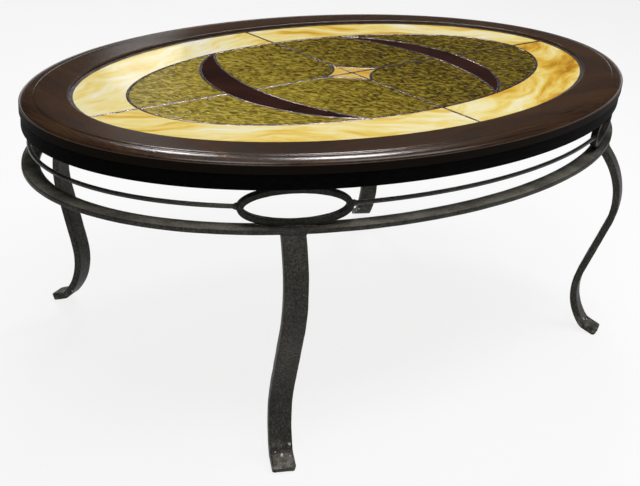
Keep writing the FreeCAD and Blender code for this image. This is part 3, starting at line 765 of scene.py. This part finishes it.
PANE_TOP, PANE_BOTTOM, PANE_SINK = 0.484, 0.480, 0.00002
RIPPLE_MARGIN, MEAN_RIPPLE, RIPPLE_DEPTH = 0.006, 0.5, 0.00045
RIDGES_ALONG, RIDGES_ACROSS, RIDGE_SHARPNESS, RIDGE_GAIN = 76, 128, 4, 0.70
WAVES, WAVE_DEPTH, STREAK_SHIFT = 22, 0.00025, 0.9
BORDER_CELL, OLIVE_CELL, CRESCENT_CELL, STAR_CELL = 0.005, 0.0014, 0.005, 0.004
RIM_CELLS, ROW_CELLS, CLEAR_CELLS = 1.5, 0.87, 0.55
STREAKS = {"back_right": (0.5, -0.02), "back_left": (-0.5, -0.05), "front_left": (0.45, -0.015),
           "front_right": (-0.45, 0.040)}


def pane_outline(node):
    """Edge of a pane's upper face, from the CAD solid, as points in order."""
    shape = bmesh.new()
    shape.from_mesh(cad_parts[node].data)
    bmesh.ops.remove_doubles(shape, verts=shape.verts, dist=1e-6)
    top = {face for face in shape.faces if face.normal.z > 0.9}
    after = {}
    for face in top:
        for loop in face.loops:
            if sum(other in top for other in loop.edge.link_faces) == 1:
                after[loop.vert] = loop.link_loop_next.vert
    first = min(after, key=lambda corner: corner.co.to_tuple())
    ring, here = [first.co.xy.copy()], after[first]
    while here is not first:
        ring.append(here.co.xy.copy())
        here = after[here]
    shape.free()
    return ring


def pane_mesh(node, cell):
    """Points and faces of a pane's upper face, and how far each point may move: 0 at the edge, 1 inside."""
    ring = []
    outline = pane_outline(node)
    for here, there in zip(outline, outline[1:] + outline[:1]):
        parts = max(1, math.ceil((there - here).length / (RIM_CELLS * cell)))
        ring += [here.lerp(there, part / parts) for part in range(parts)]
    edge = np.array([tuple(point) for point in ring])
    low, high = edge.min(0), edge.max(0)
    columns = np.arange(low[0], high[0], cell)
    rows = np.arange(low[1], high[1], cell * ROW_CELLS)
    grid = np.array([(x + (number % 2) * cell / 2, y) for number, y in enumerate(rows) for x in columns])
    inside = np.zeros(len(grid), bool)
    near = np.full(len(grid), 1.0)
    for (x0, y0), (x1, y1) in zip(edge, np.roll(edge, -1, 0)):
        if y0 != y1:
            crosses = (y0 > grid[:, 1]) != (y1 > grid[:, 1])
            inside ^= crosses & (grid[:, 0] < (x1 - x0) * (grid[:, 1] - y0) / (y1 - y0) + x0)
        run = np.array((x1 - x0, y1 - y0))
        share = np.clip(((grid - (x0, y0)) @ run) / max(run @ run, 1e-18), 0, 1)
        near = np.minimum(near, np.hypot(*(grid - (x0, y0) - share[:, None] * run).T))
    keep = inside & (near > CLEAR_CELLS * cell)
    flat = [Vector(point) for point in ring] + [Vector(point) for point in grid[keep]]
    free = np.concatenate([np.zeros(len(ring)), np.clip(near[keep] / RIPPLE_MARGIN, 0, 1)])
    points, _, faces, came_from, _, _ = geometry.delaunay_2d_cdt(flat, [], [list(range(len(ring)))], 1, 1e-7)
    return points, faces, [free[old[0]] if old else 0.0 for old in came_from]


def pane_piece(node, cell, material, relief):
    """Glass pane that stands for a CAD node. relief(x, y) gives the depth and the height, 0 to 1, of its upper face."""
    shape = bmesh.new()
    ripple = shape.verts.layers.float.new("ripple")
    points, faces, loose = pane_mesh(node, cell)
    top = []
    for point, free in zip(points, loose):
        depth, height = relief(point.x, point.y)
        vertex = shape.verts.new((point.x, point.y, PANE_TOP - PANE_SINK - free * depth))
        vertex[ripple] = height
        top.append(vertex)
    for corners in faces:
        shape.faces.new([top[corner] for corner in corners])
    rim = [edge for edge in shape.edges if edge.is_boundary]
    sides = bmesh.ops.extrude_edge_only(shape, edges=rim)["geom"]
    lower = [part for part in sides if isinstance(part, bmesh.types.BMVert)]
    for vertex in lower:
        vertex.co.z = PANE_BOTTOM
        vertex[ripple] = MEAN_RIPPLE
    lower_rim = [part for part in sides if isinstance(part, bmesh.types.BMEdge)
                 and all(vertex in lower for vertex in part.verts)]
    bmesh.ops.triangle_fill(shape, edges=lower_rim, use_beauty=True)
    mesh = mesh_of(shape, node)
    mesh.materials.append(material)
    return put_on_table(node, mesh, [node], crease=60.0)


def glazed(tree, shader, colour, roughness, gloss):
    """Make a shader coloured glass that no light shows through."""
    fill(tree, shader, {"Base Color": colour, "Roughness": roughness, "IOR": 1.5, "Specular IOR Level": gloss})


def streaky_glass(name, turn, shift, bold):
    """Cream opal glass with amber streaks, the streaks turned to lie along one pane."""
    material, tree, shader, place = new_material(name)
    swirl = add_node(tree, "ShaderNodeTexNoise", {"Vector": place, "Scale": 7.0, "Detail": 2.0}, "Color")
    bent = add_node(tree, "ShaderNodeVectorMath", {0: swirl, 1: (0.5, 0.5, 0.5)}, operation="SUBTRACT")
    bent = add_node(tree, "ShaderNodeVectorMath", {0: bent, 1: (0.11, 0.11, 0.0), 2: place}, operation="MULTIPLY_ADD")
    laid = add_node(tree, "ShaderNodeMapping", {
        "Vector": bent, "Location": (shift, shift * 0.7, 0.0), "Rotation": (0.0, 0.0, turn)})
    streaks = speckle(tree, stretched(tree, laid, (4.5, 19.0, 1.0)), 1.0, 5.0, 0.55)
    wisps = speckle(tree, stretched(tree, laid, (12.0, 75.0, 1.0)), 1.0, 3.0)
    amount = add_node(tree, "ShaderNodeMix", {"Factor": 0.25, "A": streaks, "B": wisps})
    pushed = add_node(tree, "ShaderNodeMath", {0: amount, 1: bold}, operation="ADD")
    glazed(tree, shader, colour_ramp(tree, pushed, [
        (0.33, (0.90, 0.87, 0.77)), (0.41, (0.885, 0.79, 0.44)), (0.49, (0.85, 0.66, 0.19)),
        (0.57, (0.72, 0.43, 0.046)), (0.66, (0.45, 0.20, 0.015))]), roughness=0.09, gloss=0.30)
    return material


def gentle_wave(x, y):
    """Faint waves some 45 mm long, as rolled glass has."""
    lift = 0.5 + 0.5 * noise.noise((x * WAVES, y * WAVES, 4.0))
    return WAVE_DEPTH * lift, lift


for number, (quarter, (turn, bold)) in enumerate(STREAKS.items()):
    cream = streaky_glass("streaky_cream_" + quarter, turn, STREAK_SHIFT * number, bold)
    pane_piece("border_pane_" + quarter, BORDER_CELL, cream, gentle_wave)


def hammered(x, y):
    """Shallow winding ridges and creases, about 8 mm apart and longer one way, as the roller leaves them."""
    along, across = (x - y) * math.sqrt(0.5) * RIDGES_ALONG, (x + y) * math.sqrt(0.5) * RIDGES_ACROSS
    ridge, crease = (max(0.0, 1 - RIDGE_SHARPNESS * abs(noise.noise((along, across, layer)))) for layer in (1.5, 7.5))
    dimple = min(max(MEAN_RIPPLE + RIDGE_GAIN * (ridge - crease), 0.0), 1.0)
    return RIPPLE_DEPTH * dimple, dimple


def hammered_glass():
    """Olive glass, darker in its creases, partly as thicker glass and partly as painted shade, and lightened towards
    the left end by a painted sheen.
    """
    material, tree, shader, place = new_material("hammered_olive")
    across = add_node(tree, "ShaderNodeSeparateXYZ", {0: place}, "X")
    # Painted sheen: the glass is made lighter towards the left end.
    painted_sheen_left = spread(tree, across, -0.35, 0.20, 0.33, -0.10, interpolation_type="SMOOTHSTEP")
    # The ripple value darkens the creases, partly as thicker glass and partly as painted shade of the dimples.
    ridged = times_plus(tree, attribute(tree, "ripple"), 0.64, painted_sheen_left)
    uneven = times_plus(tree, centred(tree, speckle(tree, place, 9.0, 2.0)), 0.19, ridged)
    glazed(tree, shader, colour_ramp(tree, uneven, [
        (0.015, (0.030, 0.019, 0.0008)), (0.24, (0.100, 0.066, 0.0036)), (0.45, (0.180, 0.130, 0.0095)),
        (0.645, (0.275, 0.208, 0.023)), (1.0, (0.46, 0.365, 0.055))]), roughness=0.18, gloss=0.12)
    return material


OLIVE = hammered_glass()
for quarter in QUARTERS:
    pane_piece("inner_ground_pane_" + quarter, OLIVE_CELL, OLIVE, hammered)
    pane_piece("outer_ground_pane_" + quarter, OLIVE_CELL, OLIVE, hammered)


def cathedral_glass(name, dark, light):
    """Plain rolled glass, its colour a little uneven."""
    material, tree, shader, place = new_material(name)
    cloud = speckle(tree, place, 14.0, 3.0, 0.5, 0.8)
    glazed(tree, shader, colour_ramp(tree, cloud, [(0.3, dark), (0.7, light)]), roughness=0.08, gloss=0.5)
    return material


BROWN = cathedral_glass("rolled_brown", (0.014, 0.0036, 0.0022), (0.038, 0.0100, 0.0058))
AMBER = cathedral_glass("rolled_amber", (0.62, 0.34, 0.035), (0.86, 0.60, 0.14))
for side in ("left", "right"):
    pane_piece("crescent_pane_" + side, CRESCENT_CELL, BROWN, gentle_wave)
for quarter in QUARTERS:
    pane_piece("star_pane_" + quarter, STAR_CELL, AMBER, gentle_wave)


# Edge came. Lead channel with 6 mm flanges, dressed round the panel's edge and closed over the panes.
# It is dulled to a purplish grey, and slightly dented along its run.

PANEL_INSET, PANEL_BOTTOM, PANEL_TOP = 0.0765, 0.479, 0.485
CAME_FLANGE, MM = 0.006, 0.001
SEAM_HEIGHT = (PANEL_BOTTOM + PANEL_TOP) / 2
CAME_OUTLINE = ((-3, -3), (3, -3), (3, 2.6), (2.6, 3), (0, 3), (-2.2, 2.9), (-2.8, 2.6), (-3, 2.2), (-3, 2), (1.5, 2),
                (1.5, -2), (-3, -2))


def dull_metal(name, dark, light, roughness, metallic):
    """Soft metal, tarnished in patches and slightly dented."""
    material, tree, shader, place = new_material(name)
    tarnish = colour_ramp(tree, speckle(tree, place, 70.0, 4.0), [(0.35, dark), (0.65, light)])
    fill(tree, shader, {"Base Color": tarnish, "Normal": bumped(tree, speckle(tree, place, 450.0, 2.0), 0.3, 0.0006),
                        "Metallic": metallic, "Roughness": roughness})
    return material


LEAD = dull_metal("tarnished_lead", (0.048, 0.040, 0.045), (0.140, 0.119, 0.131), roughness=0.36, metallic=0.6)
came = forged_bar([oval_point(PANEL_INSET + CAME_FLANGE / 2, turn, SEAM_HEIGHT) for turn in ALL_ROUND], True,
                  [(u * MM, v * MM, 0.0) for u, v in CAME_OUTLINE], LEAD, depth=0.0003, scale=160.0, seed=41.0)
put_on_table("edge_came", came, ["edge_came"])


# Solder seams. Copper-foiled edges run together with solder: a rounded bead 5 mm wide on each face, with the foil's
# web between the panes, and a small pool where seams meet.

FIELD_INSET = 0.1685
CRESCENT_TIP, CRESCENT_REACH, CRESCENT_WIDTH = 0.150, 0.275, 0.058
STAR_LENGTH, STAR_WIDTH, STAR_HOLLOW = 0.170, 0.110, 0.014
SEAM_STEP, POOL_SIDES = 0.004, 14
BEAD_FACE = [(2.5, 2.05), (2.2, 2.45), (1.5, 2.72), (0.6, 2.85), (-0.6, 2.85), (-1.5, 2.72), (-2.2, 2.45), (-2.5, 2.05)]
POOL_FACE = [(0.0, 2.95), (1.5, 2.9), (3.0, 2.6), (3.9, 2.05)]
WEB_HALF, WEB_HEIGHT = 0.6, 1.95


def straight(start, stop):
    """Points along a straight seam."""
    parts = max(2, round((Vector(stop) - Vector(start)).length / SEAM_STEP))
    return [Vector(start).lerp(Vector(stop), part / parts) for part in range(parts + 1)]


def arc(centre, start, stop):
    """Short way round a centre from one point to another."""
    first, last = Vector(start) - Vector(centre), Vector(stop) - Vector(centre)
    sweep = first.angle_signed(last)
    parts = max(2, round(abs(sweep) * first.length / SEAM_STEP))
    return [Vector(centre) + Matrix.Rotation(-sweep * part / parts, 2) @ first for part in range(parts + 1)]


def seam_lines():
    """Lines of the seams, the first of them closed, and the points where they meet."""
    edge = PANEL_INSET + CAME_FLANGE
    lines = [[oval_point(FIELD_INSET, turn).xy for turn in ALL_ROUND]]
    pools = []
    half_length, half_width = HALF_LENGTH - FIELD_INSET, HALF_WIDTH - FIELD_INSET
    tip = half_width * math.sqrt(1 - (CRESCENT_TIP / half_length) ** 2)
    inner = CRESCENT_REACH - CRESCENT_WIDTH
    for side in (-1, 1):
        lines.append(straight((side * (HALF_LENGTH - edge), 0), (side * CRESCENT_REACH, 0)))
        lines.append(straight((0, side * (HALF_WIDTH - edge)), (0, 0)))
        for apex in (CRESCENT_REACH, inner):
            centre = (apex ** 2 - CRESCENT_TIP ** 2 - tip ** 2) / (2 * (apex - CRESCENT_TIP))
            lines.append(arc((side * centre, 0), (side * CRESCENT_TIP, -tip), (side * CRESCENT_TIP, tip)))
            pools.append((side * apex, 0))
        pools += [(side * CRESCENT_TIP, tip), (side * CRESCENT_TIP, -tip)]
        for reach_x, reach_y in ((half_length, half_width), (HALF_LENGTH - edge, HALF_WIDTH - edge),
                                 (STAR_LENGTH / 2, STAR_WIDTH / 2)):
            pools += [(side * reach_x, 0), (0, side * reach_y)]
    lines.append(straight((-inner, 0), (inner, 0)))
    half = Vector((STAR_LENGTH / 2, STAR_WIDTH / 2))
    radius = ((half.length / 2) ** 2 + STAR_HOLLOW ** 2) / (2 * STAR_HOLLOW)
    centre = half / 2 + Vector((half.y, half.x)).normalized() * (radius - STAR_HOLLOW)
    for x_side, y_side in QUARTERS.values():
        lines.append(arc((x_side * centre.x, y_side * centre.y), (x_side * half.x, 0), (0, y_side * half.y)))
    return lines, pools + [(0, 0)]


def solder_tree():
    """Bead of solder along every seam, uneven as it set, with a pool at each meeting point."""
    tree, given = new_tree("solder", {
        "Section": "Object", "Pools": "Object", "Pool": "Object", "Unevenness": "Float", "Seed": "Float",
        "Finish": "Material"})
    bead = swept(tree, given)
    set_out = add_node(tree, "GeometryNodeInstanceOnPoints", {
        "Points": given_shape(tree, given["Pools"]), "Instance": given_shape(tree, given["Pool"], as_instance=True)})
    real = add_node(tree, "GeometryNodeRealizeInstances", {"Geometry": set_out})
    joined = tree.nodes.new("GeometryNodeJoinGeometry")
    for shape in (bead, real):
        fill(tree, joined, {0: shape})
    lumps = add_node(tree, "ShaderNodeTexNoise", {
        "Vector": add_node(tree, "GeometryNodeInputPosition"), "W": given["Seed"], "Scale": 130.0, "Detail": 2.0},
        "Color", noise_dimensions="4D")
    about = add_node(tree, "ShaderNodeVectorMath", {0: lumps, 1: (0.5, 0.5, 0.5)}, operation="SUBTRACT")
    push = add_node(tree, "ShaderNodeVectorMath", {0: about, "Scale": given["Unevenness"]}, operation="SCALE")
    moved = add_node(tree, "GeometryNodeSetPosition", {"Geometry": joined.outputs[0], "Offset": push})
    return end_tree(tree, moved, given["Finish"])


SOLDER = dull_metal("copper_foil_solder", (0.030, 0.021, 0.020), (0.34, 0.27, 0.245), roughness=0.22, metallic=0.85)
seams, meetings = seam_lines()
seam_carrier = paths_object("seams", [([(*point, SEAM_HEIGHT, 1.0) for point in line], number == 0)
                                      for number, line in enumerate(seams)])
bead_outline = BEAD_FACE + [(-WEB_HALF, WEB_HEIGHT), (-WEB_HALF, -WEB_HEIGHT)]
bead_outline += [(-u, -v) for u, v in BEAD_FACE] + [(WEB_HALF, -WEB_HEIGHT), (WEB_HALF, WEB_HEIGHT)]
pool_outline = POOL_FACE + [(WEB_HALF, WEB_HEIGHT), (WEB_HALF, -WEB_HEIGHT)] + [(u, -v) for u, v in POOL_FACE[::-1]]
seam_section = path_object("seam_section", [(u * MM, v * MM, 0.0) for u, v in bead_outline], True)
pool = turned_piece("pool", [(u * MM, v * MM) for u, v in pool_outline], POOL_SIDES)
pool_places = points_object("pool_places", [(x, y, SEAM_HEIGHT) for x, y in meetings])
solder = made_by_nodes(seam_carrier, solder_tree(), {
    "Section": seam_section, "Pools": pool_places, "Pool": pool, "Unevenness": 0.0009, "Seed": 5.0, "Finish": SOLDER})
levelled(solder, PANEL_BOTTOM, PANEL_TOP)
put_on_table("solder_seams", solder, ["solder_seams"], crease=60.0)
for helper in (seam_section, pool, pool_places):
    bpy.data.objects.remove(helper)


# Floor, light and camera. A plain pale floor with low walls far off, pale to the horizon from any side, and soft
# lamps: one overhead, two in front, two behind, one by the camera and one low at the back.
# The camera stands at the photograph's place and angle.

ROOM_HALF, WALL_TOP, FLOOR_DROP, FLOOR_GLOW, SKY = 30.0, 3.4, 0.0003, 0.85, 0.03
VIEW_TURN, VIEW_RISE, VIEW_DISTANCE = math.radians(-44.10), math.radians(15.63), 1.985
AIM_TURN, AIM_RISE, AIM_ROLL = math.radians(-43.19), math.radians(24.47), math.radians(4.93)
FOCAL_PIXELS, IMAGE_WIDTH, SENSOR_WIDTH = 1108.0, 640.0, 36.0


def pale_floor():
    """Matt pale floor that is near white to the eye and in reflections, and still takes the object's shadow."""
    material, tree, shader, _ = new_material("pale_floor")
    fill(tree, shader, {"Base Color": (0.86, 0.86, 0.86, 1.0), "Roughness": 0.9, "Specular IOR Level": 0.0})
    rays = tree.nodes.new("ShaderNodeLightPath").outputs
    seen = rays["Is Camera Ray"]
    for other in ("Is Glossy Ray", "Is Transmission Ray"):
        seen = add_node(tree, "ShaderNodeMath", {0: seen, 1: rays[other]}, operation="MAXIMUM")
    white = add_node(tree, "ShaderNodeEmission", {"Color": (1.0, 1.0, 1.0, 1.0), "Strength": 1.0})
    mixed = add_node(tree, "ShaderNodeMixShader", {0: times(tree, seen, FLOOR_GLOW), 1: shader.outputs[0], 2: white})
    fill(tree, tree.nodes["Material Output"], {"Surface": mixed})
    return material


def soft_light(name, place, target, size, power):
    """Round area lamp that looks at a point and isn't seen itself."""
    lamp = bpy.data.lights.new(name, "AREA")
    lamp.shape = "DISK"
    lamp.size = size
    lamp.energy = power
    holder = linked(name, lamp)
    holder.location = place
    holder.rotation_euler = (Vector(target) - Vector(place)).to_track_quat("-Z", "Y").to_euler()
    holder.visible_camera = False


def backwards(turn, rise):
    """Direction from what is looked at towards the camera."""
    return Vector((math.sin(turn) * math.cos(rise), -math.cos(turn) * math.cos(rise), math.sin(rise)))


ground = bpy.data.meshes.new("floor")
ground.from_pydata([(x_side * ROOM_HALF, y_side * ROOM_HALF, height) for height in (-FLOOR_DROP, WALL_TOP)
                    for x_side, y_side in QUARTERS.values()], [],
                   [(0, 1, 2, 3)] + [(k, (k + 1) % 4, (k + 1) % 4 + 4, k + 4) for k in range(4)])
ground.materials.append(pale_floor())
floor = linked("floor", ground)

world = bpy.data.worlds.new("studio")
bpy.context.scene.world = world
world.use_nodes = True
fill(world.node_tree, world.node_tree.nodes["Background"], {"Color": (1.0, 1.0, 1.0, 1.0), "Strength": SKY})

soft_light("overhead", (0.0, 0.2, 3.3), (0.0, 0.0, 0.4), size=2.5, power=11.0)
soft_light("front_left", (-0.95, -0.95, 3.0), (0.0, 0.0, 0.4), size=1.5, power=36.0)
soft_light("front_right", (1.00, -1.05, 2.8), (0.0, 0.0, 0.4), size=1.5, power=29.0)
soft_light("back_left", (1.04, 2.17, 2.55), (-0.4, -0.2, 0.48), size=0.4, power=14.0)
soft_light("back_right", (1.39, 1.01, 2.57), (-0.2, -0.2, 0.48), size=0.62, power=27.0)
soft_light("by_the_camera", (-1.55, -2.40, 0.65), (0.0, 0.0, 0.30), size=1.0, power=6.6)
soft_light("far_window", (1.88, 3.56, 1.56), (-0.3, 0.2, 0.48), size=0.42, power=0.48)

away = backwards(AIM_TURN, AIM_RISE)
level = Vector((math.cos(AIM_TURN), math.sin(AIM_TURN), 0.0))
upright = away.cross(level)
right = level * math.cos(AIM_ROLL) + upright * math.sin(AIM_ROLL)
top = upright * math.cos(AIM_ROLL) - level * math.sin(AIM_ROLL)
lens = bpy.data.cameras.new("camera")
lens.sensor_width = SENSOR_WIDTH
lens.lens = FOCAL_PIXELS * SENSOR_WIDTH / IMAGE_WIDTH
camera = linked("camera", lens)
stand = Vector((0.0, 0.0, PANE_TOP)) + backwards(VIEW_TURN, VIEW_RISE) * VIEW_DISTANCE
camera.matrix_world = Matrix.Translation(stand) @ Matrix((right, top, away)).transposed().to_4x4()
bpy.context.scene.camera = camera

bpy.context.scene.view_settings.view_transform = "Standard"
